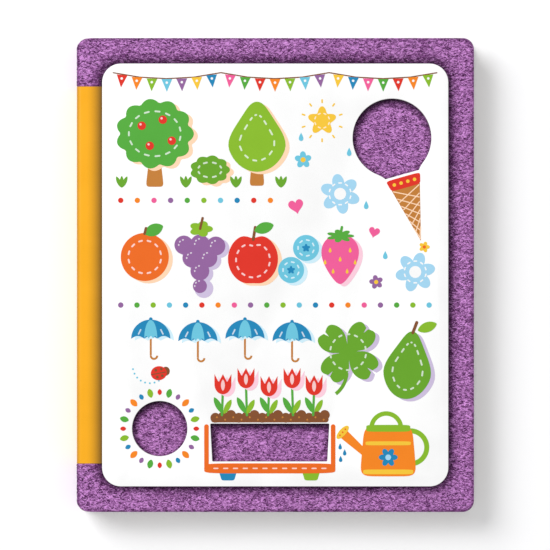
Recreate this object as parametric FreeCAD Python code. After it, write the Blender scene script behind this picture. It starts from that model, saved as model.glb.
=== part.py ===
"""Touch-and-feel board book with a felt cover, lying closed on its back cover.

A block of thick board leaves is glued along the spine. A felt sheet wraps the whole block: over the
front cover board, round the spine and over the back cover board. A card strip is pressed into the
felt round the spine, and a white board panel with three die-cut windows is glued on the front, so
that the felt shows through the windows. The felt and the strip are each one sheet on the real book.
They are parted here along the two creases beside the spine, where the covers turn.

Frame: X runs from the spine to the fore-edge, Y from tail to head, Z up through the thickness.
The origin is the middle of the back cover's outer face. All sizes are in millimetres.
"""

import FreeCAD, Part

import math
import os

# Two places closer than this count as one
SAME_PLACE = 1e-6

# The whole book, seen from the front
BOOK_WIDTH = 213.0
BOOK_HEIGHT = 254.0
CORNER_RADIUS = 6.0

# Cover layers
FELT_THICKNESS = 1.8
FELT_BEND_RADIUS = 2.6
COVER_BOARD_THICKNESS = 2.2

# Leaves
LEAF_COUNT = 4
LEAF_THICKNESS = 2.6
LEAF_GAP = 0.25
LEAF_INSET = 1.5
GLUED_SPINE_DEPTH = 7.0

# Creases between the covers and the spine
CREASE_GAP = 0.3

# Card strip round the spine
STRIP_LENGTH = 202.0
STRIP_THICKNESS = 0.5
STRIP_TUCK = 6.0

# White panel on the front
PANEL_MARGIN = 13.9
PANEL_THICKNESS = 3.0
PANEL_CORNER_RADIUS = 10.0

# Round window, measured from the panel's spine edge and tail edge
ROUND_WINDOW_RADIUS = 14.8
ROUND_WINDOW_FROM_SPINE_EDGE = 30.8
ROUND_WINDOW_FROM_TAIL = 30.9

# Bulb window, measured from the panel's fore-edge and head edge
BULB_RADIUS = 21.1
BULB_FROM_FORE_EDGE = 30.1
BULB_FROM_HEAD = 39.8
BULB_NECK_DROP = 20.3
BULB_NECK_WIDTH = 18.6
BULB_SHOULDER_RADIUS = 15.0
BULB_LEAN = 15.5

# Trough window, measured from the panel's spine edge and tail edge
TROUGH_TOP_WIDTH = 63.7
TROUGH_BOTTOM_WIDTH = 61.5
TROUGH_HEIGHT = 20.3
TROUGH_FROM_SPINE_EDGE = 89.7
TROUGH_FROM_TAIL = 13.3
TROUGH_CORNER_RADIUS = 0.6

# Levels through the thickness, from the table up
COVER_THICKNESS = FELT_THICKNESS + COVER_BOARD_THICKNESS
BLOCK_THICKNESS = LEAF_COUNT * LEAF_THICKNESS + (LEAF_COUNT - 1) * LEAF_GAP
BLOCK_LOW = COVER_THICKNESS + CREASE_GAP
BLOCK_HIGH = BLOCK_LOW + BLOCK_THICKNESS
COVER_INNER = BLOCK_HIGH + CREASE_GAP
BOARD_TOP = COVER_INNER + COVER_BOARD_THICKNESS
FELT_TOP = BOARD_TOP + FELT_THICKNESS
PANEL_TOP = FELT_TOP + PANEL_THICKNESS
MIDDLE = (BLOCK_LOW + BLOCK_HIGH) / 2

# Places across the width
SPINE_X = -BOOK_WIDTH / 2
FORE_EDGE_X = BOOK_WIDTH / 2
FELT_INSIDE_X = SPINE_X + FELT_THICKNESS
STRIP_END_X = SPINE_X + PANEL_MARGIN + STRIP_TUCK


def point(x, y, z=0.0):
    return FreeCAD.Vector(x, y, z)


def polar(centre, radius, degrees):
    """The point at a distance and a direction from a centre in the plane of the cover."""
    angle = math.radians(degrees)
    return centre + point(radius * math.cos(angle), radius * math.sin(angle))


def arc(centre, radius, start, end):
    """An arc about a centre, from one direction to another in degrees."""
    middle = (start + end) / 2
    ends = [polar(centre, radius, d) for d in (start, middle, end)]
    return Part.Arc(*ends).toShape()


def prism(edges, low, high):
    """A plate with the closed outline that the edges make, between two levels."""
    outline = Part.Wire(Part.__sortEdges__(edges))
    outline.translate(point(0, 0, low))
    return Part.Face(outline).extrude(point(0, 0, high - low))


def rounded_plate(half_width, half_height, radius, low, high):
    """A plate centred on the origin, with four equal rounded corners."""
    inner_x = half_width - radius
    inner_y = half_height - radius
    edges = []
    for quarter, (sx, sy) in enumerate([(1, 1), (-1, 1), (-1, -1), (1, -1)]):
        centre = point(sx * inner_x, sy * inner_y)
        edges.append(arc(centre, radius, quarter * 90, quarter * 90 + 90))
    sides = [
        (point(inner_x, half_height), point(-inner_x, half_height)),
        (point(-half_width, inner_y), point(-half_width, -inner_y)),
        (point(-inner_x, -half_height), point(inner_x, -half_height)),
        (point(half_width, -inner_y), point(half_width, inner_y)),
    ]
    edges += [Part.makeLine(start, end) for start, end in sides]
    return prism(edges, low, high)


def book_outline(inset, low, high):
    """The book's rounded outline, drawn in by an inset, between two levels."""
    return rounded_plate(
        BOOK_WIDTH / 2 - inset, BOOK_HEIGHT / 2 - inset, CORNER_RADIUS - inset, low, high
    )


def slab(x_low, x_high, length, low, high):
    """A plain box that spans a length across the book's height, centred on it."""
    corner = point(x_low, -length / 2, low)
    return Part.makeBox(x_high - x_low, length, high - low, corner)


def bent_sheet(depth, thickness, end_x, length):
    """A sheet over the front cover that turns down at the spine to the crease.

    Its outer face lies a depth under the felt's outer face.
    """
    bend = FELT_BEND_RADIUS - depth
    outside = slab(SPINE_X + depth, end_x, length, COVER_INNER, FELT_TOP - depth)
    inside_x = SPINE_X + depth + thickness
    inside_top = FELT_TOP - depth - thickness
    inside = slab(inside_x, end_x, length, COVER_INNER, inside_top)
    outside = round_spine_edge(outside, bend)
    if bend > thickness:
        inside = round_spine_edge(inside, bend - thickness)
    return outside.cut(inside)


def round_spine_edge(box, radius):
    """Rounds the upper long edge of a box on the spine's side."""
    bounds = box.BoundBox
    edges = [
        e
        for e in box.Edges
        if abs(e.CenterOfMass.x - bounds.XMin) < SAME_PLACE
        and abs(e.CenterOfMass.z - bounds.ZMax) < SAME_PLACE
    ]
    return box.makeFillet(radius, edges)


def front_strip():
    """The card strip's front arm, from the crease over the edge and in under the panel."""
    return bent_sheet(0.0, STRIP_THICKNESS, STRIP_END_X, STRIP_LENGTH)


def front_felt():
    """The felt over the front cover, with a shallow bed pressed in for the strip."""
    sheet = bent_sheet(0.0, FELT_THICKNESS, FORE_EDGE_X, BOOK_HEIGHT)
    trimmed = sheet.common(book_outline(0.0, COVER_INNER, FELT_TOP))
    return trimmed.cut(front_strip())


def front_board():
    """The stiff board under the front felt, cut flush with it at head, tail and fore-edge.

    It fills the felt's fold, so its upper spine edge has the fold's inner radius.
    """
    board = slab(FELT_INSIDE_X, FORE_EDGE_X, BOOK_HEIGHT, COVER_INNER, BOARD_TOP)
    if FELT_BEND_RADIUS > FELT_THICKNESS:
        board = round_spine_edge(board, FELT_BEND_RADIUS - FELT_THICKNESS)
    return board.common(book_outline(0.0, COVER_INNER, BOARD_TOP))


def to_back(shape):
    """The back cover has the front cover's layers in mirror image."""
    return shape.mirror(point(0, 0, MIDDLE), point(0, 0, 1))


def spine_strip():
    """The card strip's middle, along the spine between the two creases."""
    return slab(SPINE_X, SPINE_X + STRIP_THICKNESS, STRIP_LENGTH, BLOCK_LOW, BLOCK_HIGH)


def spine_felt():
    """The felt on the spine between the two creases, with the strip's bed."""
    wall = slab(SPINE_X, FELT_INSIDE_X, BOOK_HEIGHT, BLOCK_LOW, BLOCK_HIGH)
    trimmed = wall.common(book_outline(0.0, BLOCK_LOW, BLOCK_HIGH))
    return trimmed.cut(spine_strip())


def page_block():
    """Thick board leaves that hang together along the glued spine."""
    block = book_outline(LEAF_INSET, BLOCK_LOW, BLOCK_HIGH)
    block = block.common(slab(FELT_INSIDE_X, FORE_EDGE_X, BOOK_HEIGHT, BLOCK_LOW, BLOCK_HIGH))
    glued_to = FELT_INSIDE_X + GLUED_SPINE_DEPTH
    for leaf in range(1, LEAF_COUNT):
        gap_high = BLOCK_LOW + leaf * (LEAF_THICKNESS + LEAF_GAP)
        gap = slab(glued_to, FORE_EDGE_X, BOOK_HEIGHT, gap_high - LEAF_GAP, gap_high)
        block = block.cut(gap)
    return block


def panel_half_size():
    return BOOK_WIDTH / 2 - PANEL_MARGIN, BOOK_HEIGHT / 2 - PANEL_MARGIN


def round_window():
    """A plain round hole for a fingertip."""
    half_width, half_height = panel_half_size()
    centre = point(
        ROUND_WINDOW_FROM_SPINE_EDGE - half_width, ROUND_WINDOW_FROM_TAIL - half_height, FELT_TOP
    )
    return Part.makeCylinder(ROUND_WINDOW_RADIUS, PANEL_THICKNESS, centre)


def bulb_window():
    """A round bulb that runs through two hollow shoulders into a straight-cut neck.

    Each shoulder is an arc that touches the bulb from outside and ends at a corner of the neck.
    It is drawn with the neck pointing down, and then leans so that the neck swings to the right.
    """
    bulb = point(0, 0)
    half_neck = BULB_NECK_WIDTH / 2
    neck_distance = math.hypot(half_neck, BULB_NECK_DROP)
    shoulder_distance = BULB_RADIUS + BULB_SHOULDER_RADIUS
    cosine = (shoulder_distance**2 + neck_distance**2 - BULB_SHOULDER_RADIUS**2) / (
        2 * shoulder_distance * neck_distance
    )
    off_axis = math.degrees(math.atan2(half_neck, BULB_NECK_DROP) + math.acos(cosine))
    touch = -90 + off_axis
    right_centre = polar(bulb, shoulder_distance, touch)
    right_neck = point(half_neck, -BULB_NECK_DROP)
    to_neck = right_neck - right_centre
    neck_angle = math.degrees(math.atan2(to_neck.y, to_neck.x)) % 360
    right = arc(right_centre, BULB_SHOULDER_RADIUS, touch + 180, neck_angle)
    edges = [
        arc(bulb, BULB_RADIUS, touch, 180 - touch),
        right,
        right.mirror(bulb, point(1, 0)),
        Part.makeLine(right_neck, point(-half_neck, -BULB_NECK_DROP)),
    ]
    cutter = prism(edges, FELT_TOP, PANEL_TOP)
    cutter.rotate(bulb, point(0, 0, 1), BULB_LEAN)
    half_width, half_height = panel_half_size()
    cutter.translate(point(half_width - BULB_FROM_FORE_EDGE, half_height - BULB_FROM_HEAD))
    return cutter


def trough_window():
    """A wide window whose sides draw in a little towards the tail."""
    half_width, half_height = panel_half_size()
    centre_x = TROUGH_FROM_SPINE_EDGE - half_width
    bottom = TROUGH_FROM_TAIL - half_height
    top = bottom + TROUGH_HEIGHT
    corners = [
        point(centre_x - TROUGH_TOP_WIDTH / 2, top, FELT_TOP),
        point(centre_x + TROUGH_TOP_WIDTH / 2, top, FELT_TOP),
        point(centre_x + TROUGH_BOTTOM_WIDTH / 2, bottom, FELT_TOP),
        point(centre_x - TROUGH_BOTTOM_WIDTH / 2, bottom, FELT_TOP),
    ]
    face = Part.Face(Part.makePolygon(corners + corners[:1]))
    cutter = face.extrude(point(0, 0, PANEL_THICKNESS))
    upright = [e for e in cutter.Edges if abs(e.Vertexes[0].Z - e.Vertexes[-1].Z) > PANEL_THICKNESS / 2]
    return cutter.makeFillet(TROUGH_CORNER_RADIUS, upright)


def window_panel():
    """The white board panel on the front felt, with its three windows cut through."""
    half_width, half_height = panel_half_size()
    panel = rounded_plate(half_width, half_height, PANEL_CORNER_RADIUS, FELT_TOP, PANEL_TOP)
    for window in (round_window(), bulb_window(), trough_window()):
        panel = panel.cut(window)
    return panel


def all_parts():
    return {
        "window_panel": window_panel(),
        "front_felt": front_felt(),
        "front_board": front_board(),
        "front_strip": front_strip(),
        "spine_felt": spine_felt(),
        "spine_strip": spine_strip(),
        "page_block": page_block(),
        "back_board": to_back(front_board()),
        "back_felt": to_back(front_felt()),
        "back_strip": to_back(front_strip()),
    }


def main():
    os.makedirs("parts", exist_ok=True)
    for name, shape in all_parts().items():
        solids = shape.Solids
        if len(solids) != 1 or not solids[0].isValid():
            raise ValueError(f"{name} came out as {len(solids)} solids, or not valid")
        solids[0].exportStep(f"parts/{name}.step")
        size = solids[0].BoundBox
        print(f"{name}: {size.XLength:.2f} x {size.YLength:.2f} x {size.ZLength:.2f} mm")


main()
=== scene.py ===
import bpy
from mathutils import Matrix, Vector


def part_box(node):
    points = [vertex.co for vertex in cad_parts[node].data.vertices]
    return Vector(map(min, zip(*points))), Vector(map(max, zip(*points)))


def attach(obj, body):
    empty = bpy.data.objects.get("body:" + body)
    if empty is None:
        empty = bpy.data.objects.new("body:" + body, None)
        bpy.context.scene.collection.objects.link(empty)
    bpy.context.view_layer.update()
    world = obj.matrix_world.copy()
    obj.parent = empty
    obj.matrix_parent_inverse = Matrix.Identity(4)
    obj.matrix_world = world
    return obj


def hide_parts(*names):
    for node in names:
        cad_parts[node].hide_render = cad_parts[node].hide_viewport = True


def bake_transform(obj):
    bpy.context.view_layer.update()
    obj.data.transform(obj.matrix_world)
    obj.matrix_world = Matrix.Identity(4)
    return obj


bl_info = {
    "name": "Touch and Feel Board Book",
    "version": (1, 0, 0),
    "blender": (4, 5, 0),
    "location": "View3D > Sidebar > Board Book",
    "description": "Dresses a board book with felt, a card strip, a window panel and printed garden art",
    "category": "Object",
}

import math
import random

import bmesh
import bpy
from mathutils import Matrix, Vector, noise
from mathutils.bvhtree import BVHTree

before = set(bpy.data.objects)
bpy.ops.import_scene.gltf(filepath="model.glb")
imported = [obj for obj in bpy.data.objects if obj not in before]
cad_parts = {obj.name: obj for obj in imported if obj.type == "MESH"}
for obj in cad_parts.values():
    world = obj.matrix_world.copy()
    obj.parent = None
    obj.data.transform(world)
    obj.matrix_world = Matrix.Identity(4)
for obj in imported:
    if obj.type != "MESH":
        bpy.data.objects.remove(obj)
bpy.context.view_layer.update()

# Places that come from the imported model, in metres
FELT_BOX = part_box("front_felt")
PANEL_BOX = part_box("window_panel")
STRIP_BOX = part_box("front_strip")
BLOCK_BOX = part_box("page_block")
HALF_WIDTH = FELT_BOX[1].x
HALF_HEIGHT = FELT_BOX[1].y
FELT_TOP = FELT_BOX[1].z
PANEL_TOP = PANEL_BOX[1].z
MIDDLE = (BLOCK_BOX[0].z + BLOCK_BOX[1].z) / 2

# The photograph looks straight at the cover, so one pixel is the same length all over it
PIXEL = 0.00053586
PHOTO_SIZE = 550
COVER_MIDDLE = (275.25, 275.0)

# Radius of the panel's corners, in metres
PANEL_CORNER = 0.01

# Two places closer than this count as one, in metres
SAME_PLACE = 0.0001

# Turns at which the felt's rows cross a rounded corner, in degrees, and the one where the spine ends
CORNER_TURNS = (0, 14, 29, 44, 55, 65, 75, 83, 90)
SPINE_CORNER = 44

# How far below the bend at the spine the crease is, with room for its fold, in metres
CREASE_BAND = 0.0032

# Light that the coating adds to an ink's colour, and how much the studio light lifts it
INK_GLARE = 0.03
INK_LIFT = 1.08

# How deep an ink plate reaches into the panel, in metres
INK_ROOT = 0.0001

# Ways that the painted shade beside the panel and the painted shadow in its windows are shifted, in metres
LIT_SHIFT = (-0.0004, 0.0004)
LIT_SHIFT_LIMIT = 0.0012
WINDOW_SHADE_SHIFT = (0.0006, -0.0017, 0.0)

# Where the painted shade at the spine's edge starts, is full and ends, in metres past the flat cover
FOLD_PLACES = (0.0002, 0.0026, 0.0045)

# Strengths of the painted shade on the felt and on the strip, from 0 to 1, and how fast it falls off
PANEL_SHADE_ON_FELT = 0.78
PANEL_SHADE_ON_STRIP = 0.88
PANEL_SHADE_FALL = 1.6
RIM_SHADE = 0.45
FOLD_SHADE_ON_FELT = 0.6
FOLD_SHADE_ON_STRIP = 0.5

# Spread of the way a fibre heads and of its curl, in radians, how far its ends sink into the felt, and
# where the painted shade on the fibres beside the panel is darkest, in metres outside it
FIBRE_HEADING = 0.42
FIBRE_CURL = 1.2
FIBRE_SINK = 0.00006
FIBRE_DARKEST = -0.0022

# Bare bands beside the strip and at the spine's ends, where no fibre grows, in metres
BARE_BESIDE_STRIP = 0.0004
BARE_AT_SPINE_END = 0.003

# Curls of the felt's strands: how fine they are, as a noise scale, and how far they reach, in metres
CURL_SCALE = 420.0
CURL_REACH = 0.0024

# The panel's windows as rounded boxes: middle, half size and corner radius in pixels, lean in degrees.
# The bulb-shaped window is a disc and a neck.
WINDOWS = (
    ((159.9, 428.4), (27.6, 27.6), 27.6, 0.0),
    ((391.9, 138.2), (39.4, 39.4), 39.4, 0.0),
    ((399.0, 164.0), (17.4, 11.2), 1.0, 15.5),
    ((269.8, 442.3), (58.4, 18.9), 1.0, 0.0),
)


# Settings


def length(name, description, default):
    return bpy.props.FloatProperty(
        name=name, description=description, default=default, min=0.0, precision=5, unit="LENGTH"
    )


def hue(red, green, blue):
    """Turns a colour as a screen shows it, from 0 to 255, into scene light."""
    values = [channel / 255.0 for channel in (red, green, blue)]
    return [v / 12.92 if v <= 0.04045 else ((v + 0.055) / 1.055) ** 2.4 for v in values]


def colour(name, description, red, green, blue):
    return bpy.props.FloatVectorProperty(
        name=name,
        description=description,
        default=hue(red, green, blue),
        min=0.0,
        max=1.0,
        size=3,
        subtype="COLOR",
    )


class BookFeltSettings(bpy.types.PropertyGroup):
    """Felt sheet and the loose fibres that stand on it."""

    thickness: length("Thickness", "Thickness of the felt sheet", 0.0018)
    bend_radius: length("Bend Radius", "Outer radius where the felt turns at the spine", 0.0026)
    corner_radius: length("Corner Radius", "Radius of the book's four corners", 0.006)
    soft_edge: length("Soft Edge", "How far the cut edge of the felt sinks", 0.0005)
    soft_edge_width: length("Soft Edge Width", "Width of the band where the cut edge sinks", 0.0016)
    pressed_depth: length("Pressed Depth", "How deep the panel presses the felt along its edge", 0.0003)
    pressed_width: length("Pressed Width", "Width of the pressed band beside the panel", 0.003)
    strip_bed: length("Strip Bed", "How deep the felt is pressed under the card strip", 0.00062)
    waviness: length("Waviness", "Height of the felt's slow unevenness", 0.00012)
    # The rim, panel and window shade below is painted shade, drawn into the felt's colour
    rim_shade: length("Rim Shade", "Width of the darker band along the cut edge", 0.0022)
    panel_shade: length("Panel Shade", "How far the shade beside the panel reaches", 0.0076)
    window_shade: length("Window Shade", "How far the shade reaches into a window", 0.0035)
    window_shade_start: length("Window Shade Start", "How far under the panel it is full", 0.0016)
    fibre_length: length("Fibre Length", "Average length of a loose fibre", 0.0020)
    fibre_width: length("Fibre Width", "Width of a loose fibre", 0.00028)
    fibre_lift: length("Fibre Lift", "How high a loose fibre arches off the felt", 0.0003)
    fibre_count: bpy.props.IntProperty(
        name="Fibre Count", description="Loose fibres on each half of the felt", default=24000, min=0
    )
    strand_length: length("Strand Length", "Length of the strands in the felt's pattern", 0.0027)
    strand_width: length("Strand Width", "Width of the strands in the felt's pattern", 0.0009)
    middle_colour: colour("Felt", "Average colour of the felt", 131, 73, 135)
    light_colour: colour("Light Strands", "Colour of the strands on top", 205, 141, 211)
    dark_colour: colour("Dark Gaps", "Colour of the gaps between strands", 73, 22, 75)
    # Colour of the painted shade beside the panel, in its windows, at the cut edge and at the spine's edge
    painted_shade_colour: colour("Contact Shade", "Colour of the pressed felt beside the panel", 30, 16, 32)


class BookCardSettings(bpy.types.PropertyGroup):
    """Card strip, window panel, cover boards and leaves."""

    strip_thickness: length("Strip Thickness", "Thickness of the card strip", 0.00045)
    panel_shade: length("Panel Shade", "How far the shade beside the panel reaches on the strip", 0.0085)
    panel_rounding: length("Panel Rounding", "Rounding of the panel's upper edges", 0.00025)
    strip_colour: colour("Card Strip", "Colour of the strip at the spine", 238, 166, 12)
    # Colour of the strip's painted shade beside the panel and at the spine's edge
    painted_strip_shade: colour("Strip Shade", "Colour of the strip close to the panel", 60, 48, 14)
    panel_colour: colour("Panel", "Colour of the panel's face", 243, 243, 243)
    panel_edge_colour: colour("Panel Edge", "Colour of the panel's cut board", 214, 211, 208)
    board_colour: colour("Cover Board", "Colour of the cover boards", 226, 222, 214)
    leaf_colour: colour("Leaf Board", "Colour of the leaves", 236, 233, 226)


class BookInkSettings(bpy.types.PropertyGroup):
    """Inks of the printed garden art."""

    ink_height: length("Ink Height", "Height of each layer of ink above the last", 0.00004)
    shadow_shift: bpy.props.FloatProperty(
        name="Shadow Shift", description="Pixels that a pastel shape lies off its motif", default=4.0
    )
    leaf: colour("Leaf Green", "Dark green ink", 92, 172, 72)
    lime: colour("Lime", "Light green ink", 140, 188, 58)
    moss: colour("Moss", "Middle green ink", 110, 168, 58)
    yellow: colour("Yellow", "Yellow ink", 246, 200, 70)
    red: colour("Red", "Red ink", 224, 64, 54)
    orange: colour("Orange", "Dark orange ink", 236, 112, 44)
    tangerine: colour("Tangerine", "Light orange ink", 246, 138, 42)
    purple: colour("Purple", "Purple ink", 150, 106, 160)
    pink: colour("Pink", "Pink ink", 240, 100, 156)
    sky: colour("Sky", "Light blue ink", 114, 198, 222)
    cloud: colour("Cloud", "Palest blue ink", 166, 214, 240)
    blue: colour("Blue", "Blue ink", 34, 138, 186)
    soil: colour("Soil", "Brown ink", 136, 88, 60)
    tan: colour("Tan", "Light brown ink", 196, 130, 68)
    peach: colour("Peach", "Pastel orange ink", 254, 216, 182)
    haze: colour("Haze", "Pastel blue ink", 208, 238, 250)
    lilac: colour("Lilac", "Pastel purple ink", 206, 192, 222)
    blush: colour("Blush", "Pastel pink ink", 252, 206, 222)
    white: colour("White", "White ink", 248, 248, 248)


class BookStageSettings(bpy.types.PropertyGroup):
    """Floor, lights and camera."""

    lens: bpy.props.FloatProperty(name="Lens", description="Focal length in millimetres", default=200.0)
    sensor: bpy.props.FloatProperty(name="Sensor", description="Sensor width in millimetres", default=36.0)
    key_power: bpy.props.FloatProperty(
        name="Key Light", description="Power of the large soft light", default=92.0, unit="POWER"
    )
    key_size: length("Key Light Size", "Side of the large soft light", 2.0)
    key_distance: length("Key Light Distance", "Distance from the book to the large soft light", 3.4)
    key_azimuth: bpy.props.FloatProperty(
        name="Key Light Azimuth",
        description="Direction of the large soft light, from the fore-edge side",
        default=math.radians(140.0),
        subtype="ANGLE",
    )
    key_elevation: bpy.props.FloatProperty(
        name="Key Light Elevation",
        description="Height of the large soft light above the table",
        default=math.radians(42.0),
        subtype="ANGLE",
    )
    sky_strength: bpy.props.FloatProperty(
        name="Room Light", description="Strength of the even light from all round", default=0.66
    )
    floor_size: length("Floor Size", "Side of the floor", 8.0)
    floor_colour: colour("Floor", "Colour of the floor", 246, 246, 247)


# Node helpers


def add_node(tree, kind, **settings):
    """Adds a node to a material or a group and sets its properties."""
    node = tree.nodes.new(kind)
    for name, value in settings.items():
        setattr(node, name, value)
    return node


def feed(tree, value, socket):
    """Joins an output to an input, or sets the input to a number or a vector."""
    if isinstance(value, bpy.types.NodeSocket):
        tree.links.new(value, socket)
    else:
        socket.default_value = value


def maths(tree, operation, *values, clamp=False):
    node = add_node(tree, "ShaderNodeMath", operation=operation, use_clamp=clamp)
    for value, socket in zip(values, node.inputs):
        feed(tree, value, socket)
    return node.outputs[0]


def vector_maths(tree, operation, first, second):
    node = add_node(tree, "ShaderNodeVectorMath", operation=operation)
    feed(tree, first, node.inputs[0])
    feed(tree, second, node.inputs["Scale"] if operation == "SCALE" else node.inputs[1])
    return node.outputs[0]


def between(tree, value, low, high, to_low=0.0, to_high=1.0):
    """Maps a value from one range to another, held inside the second one."""
    node = add_node(tree, "ShaderNodeMapRange", clamp=True)
    for number, socket in zip((value, low, high, to_low, to_high), node.inputs):
        feed(tree, number, socket)
    return node.outputs[0]


def speckle(tree, vector, scale, detail=2.0, output="Fac"):
    """Noise with features of about one metre divided by scale."""
    node = add_node(tree, "ShaderNodeTexNoise")
    feed(tree, vector, node.inputs["Vector"])
    feed(tree, scale, node.inputs["Scale"])
    feed(tree, detail, node.inputs["Detail"])
    return node.outputs[output]


def blended_colour(tree, factor, first, second, blend_type="MIX"):
    node = add_node(tree, "ShaderNodeMix", data_type="RGBA", blend_type=blend_type, clamp_factor=True)
    feed(tree, factor, node.inputs["Factor"])
    feed(tree, opaque(first), node.inputs["A"])
    feed(tree, opaque(second), node.inputs["B"])
    return node.outputs["Result"]


def opaque(value):
    """A colour with full alpha, or a socket as it is."""
    return value if isinstance(value, bpy.types.NodeSocket) else (*value, 1.0)


def turned(tree, vector, size, turn=0.0, offset=(0.0, 0.0, 0.0)):
    """Coordinates turned about Z and counted in steps of the given size."""
    node = add_node(tree, "ShaderNodeMapping", vector_type="TEXTURE")
    feed(tree, vector, node.inputs["Vector"])
    node.inputs["Location"].default_value = offset
    node.inputs["Rotation"].default_value = (0.0, 0.0, math.radians(turn))
    node.inputs["Scale"].default_value = size
    return node.outputs[0]


def new_group(name, inputs, outputs):
    """Starts a node group. Its sockets are names with a kind: VECTOR, COLOR or VALUE."""
    kinds = {"VECTOR": "NodeSocketVector", "COLOR": "NodeSocketColor", "VALUE": "NodeSocketFloat"}
    group = bpy.data.node_groups.new(name, "ShaderNodeTree")
    for socket, kind in inputs.items():
        group.interface.new_socket(socket, in_out="INPUT", socket_type=kinds[kind])
    for socket, kind in outputs.items():
        group.interface.new_socket(socket, in_out="OUTPUT", socket_type=kinds[kind])
    return group, add_node(group, "NodeGroupInput").outputs, add_node(group, "NodeGroupOutput").inputs


def use_group(tree, name, **inputs):
    node = add_node(tree, "ShaderNodeGroup", node_tree=bpy.data.node_groups[name])
    for socket, value in inputs.items():
        feed(tree, value, node.inputs[socket])
    return node.outputs


def new_material(name):
    """Starts a material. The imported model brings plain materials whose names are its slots' names."""
    if name in bpy.data.materials:
        raise RuntimeError(f"there is a material {name} already")
    material = bpy.data.materials.new(name)
    material.use_nodes = True
    tree = material.node_tree
    return material, tree, tree.nodes["Principled BSDF"].inputs


def bumped(tree, height, strength, distance):
    node = add_node(tree, "ShaderNodeBump")
    node.inputs["Strength"].default_value = strength
    node.inputs["Distance"].default_value = distance
    feed(tree, height, node.inputs["Height"])
    return node.outputs[0]


def object_place(tree):
    return add_node(tree, "ShaderNodeTexCoord").outputs["Object"]


def sheet_map(tree):
    """Place on the flattened sheet, in metres, which moves with the felt and the strip."""
    return add_node(tree, "ShaderNodeUVMap", uv_map="flat").outputs[0]


# Node groups


def make_felt_strands(felt):
    """Thin curly strands that cross each other, as light and dark masks and a height."""
    group, start, end = new_group(
        "felt_strands", {"Vector": "VECTOR"}, {"Light": "VALUE", "Dark": "VALUE", "Height": "VALUE"}
    )
    curl = speckle(group, start["Vector"], CURL_SCALE, 1.0, "Color")
    curl = vector_maths(group, "SUBTRACT", curl, (0.5, 0.5, 0.5))
    curl = vector_maths(group, "SCALE", curl, CURL_REACH)
    place = vector_maths(group, "ADD", start["Vector"], curl)
    size = (felt.strand_length, felt.strand_width, 1.0)
    light = dark = 0.0
    for turn in (4.0, -24.0, 33.0):
        level = speckle(group, turned(group, place, size, turn, (0.1 * turn, 0.3, turn)), 1.0, 1.0)
        off_line = maths(group, "ABSOLUTE", maths(group, "SUBTRACT", level, 0.5))
        light = maths(group, "MAXIMUM", light, between(group, off_line, 0.09, 0.02))
    for turn in (12.0, -40.0):
        level = speckle(group, turned(group, place, size, turn, (0.2 * turn, 0.7, turn)), 1.0, 1.0)
        dark = maths(group, "MAXIMUM", dark, between(group, level, 0.47, 0.34))
    dark = maths(group, "SUBTRACT", dark, maths(group, "MULTIPLY", light, 0.6), clamp=True)
    feed(group, light, end["Light"])
    feed(group, dark, end["Dark"])
    feed(group, maths(group, "SUBTRACT", light, dark), end["Height"])


def make_edge_gap():
    """How far a place lies outside a rounded box about the middle, below zero inside it.

    Inner is the half size of the box less its corner radius.
    """
    group, start, end = new_group(
        "edge_gap", {"Vector": "VECTOR", "Inner": "VECTOR", "Radius": "VALUE"}, {"Gap": "VALUE"}
    )
    past = vector_maths(group, "SUBTRACT", start["Vector"], start["Inner"])
    reach = add_node(group, "ShaderNodeVectorMath", operation="LENGTH")
    feed(group, vector_maths(group, "MAXIMUM", past, (0.0, 0.0, 0.0)), reach.inputs[0])
    sides = add_node(group, "ShaderNodeSeparateXYZ")
    feed(group, past, sides.inputs[0])
    inside = maths(group, "MAXIMUM", sides.outputs["X"], sides.outputs["Y"])
    inside = maths(group, "MINIMUM", inside, 0.0)
    gap = maths(group, "SUBTRACT", maths(group, "ADD", reach.outputs["Value"], inside), start["Radius"])
    feed(group, gap, end["Gap"])


def gap_to_box(tree, place, middle, half, radius, lean=0.0):
    """Nodes for the distance outside a rounded box that leans about its middle."""
    local = turned(tree, place, (1.0, 1.0, 1.0), lean, (middle[0], middle[1], 0.0))
    local = vector_maths(tree, "ABSOLUTE", local, (0.0, 0.0, 0.0))
    inner = (half[0] - radius, half[1] - radius, 1.0)
    return use_group(tree, "edge_gap", Vector=local, Inner=inner, Radius=radius)["Gap"]


def panel_nearness(tree, place, reach):
    """Mask of the painted shade beside the panel: how near a place on the flattened sheet is to its outer
    edge, 1 at it and 0 out of reach.

    It reaches further on the two sides that the large light would wash out.
    """
    gap = gap_to_box(tree, place, LIT_SHIFT, PANEL_BOX[1], PANEL_CORNER)
    near = maths(tree, "POWER", between(tree, gap, 0.0, reach, 1.0, 0.0), PANEL_SHADE_FALL)
    return maths(tree, "MULTIPLY", near, maths(tree, "GREATER_THAN", gap, -LIT_SHIFT_LIMIT))


def window_nearness(tree, place, felt):
    """Mask of the painted shadow that the panel drops into its windows, down and to the right: 1 under the
    panel.
    """
    shade = 1.0
    for middle, half, radius, lean in WINDOWS:
        spot = on_cover(*middle) + Vector(WINDOW_SHADE_SHIFT)
        gap = gap_to_box(tree, place, spot, [side * PIXEL for side in half], radius * PIXEL, lean)
        part = between(tree, gap, -felt.window_shade, felt.window_shade_start)
        shade = maths(tree, "MINIMUM", shade, part)
    under = gap_to_box(tree, place, (0.0, 0.0), PANEL_BOX[1], PANEL_CORNER)
    return maths(tree, "MULTIPLY", shade, maths(tree, "LESS_THAN", under, 0.0))


def rim_nearness(tree, place, felt):
    """Mask of the painted shade along the cut edge: how near a place on the flattened sheet is to it, 1 at
    it and 0 out of reach.
    """
    inner = (HALF_WIDTH - felt.corner_radius, HALF_HEIGHT - felt.corner_radius, 1.0)
    folded = vector_maths(tree, "MULTIPLY", place, (1.0, -1.0, 1.0))
    folded = vector_maths(tree, "MAXIMUM", place, folded)
    gap = use_group(tree, "edge_gap", Vector=folded, Inner=inner, Radius=felt.corner_radius)["Gap"]
    return between(tree, gap, -felt.rim_shade, 0.0)


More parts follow.
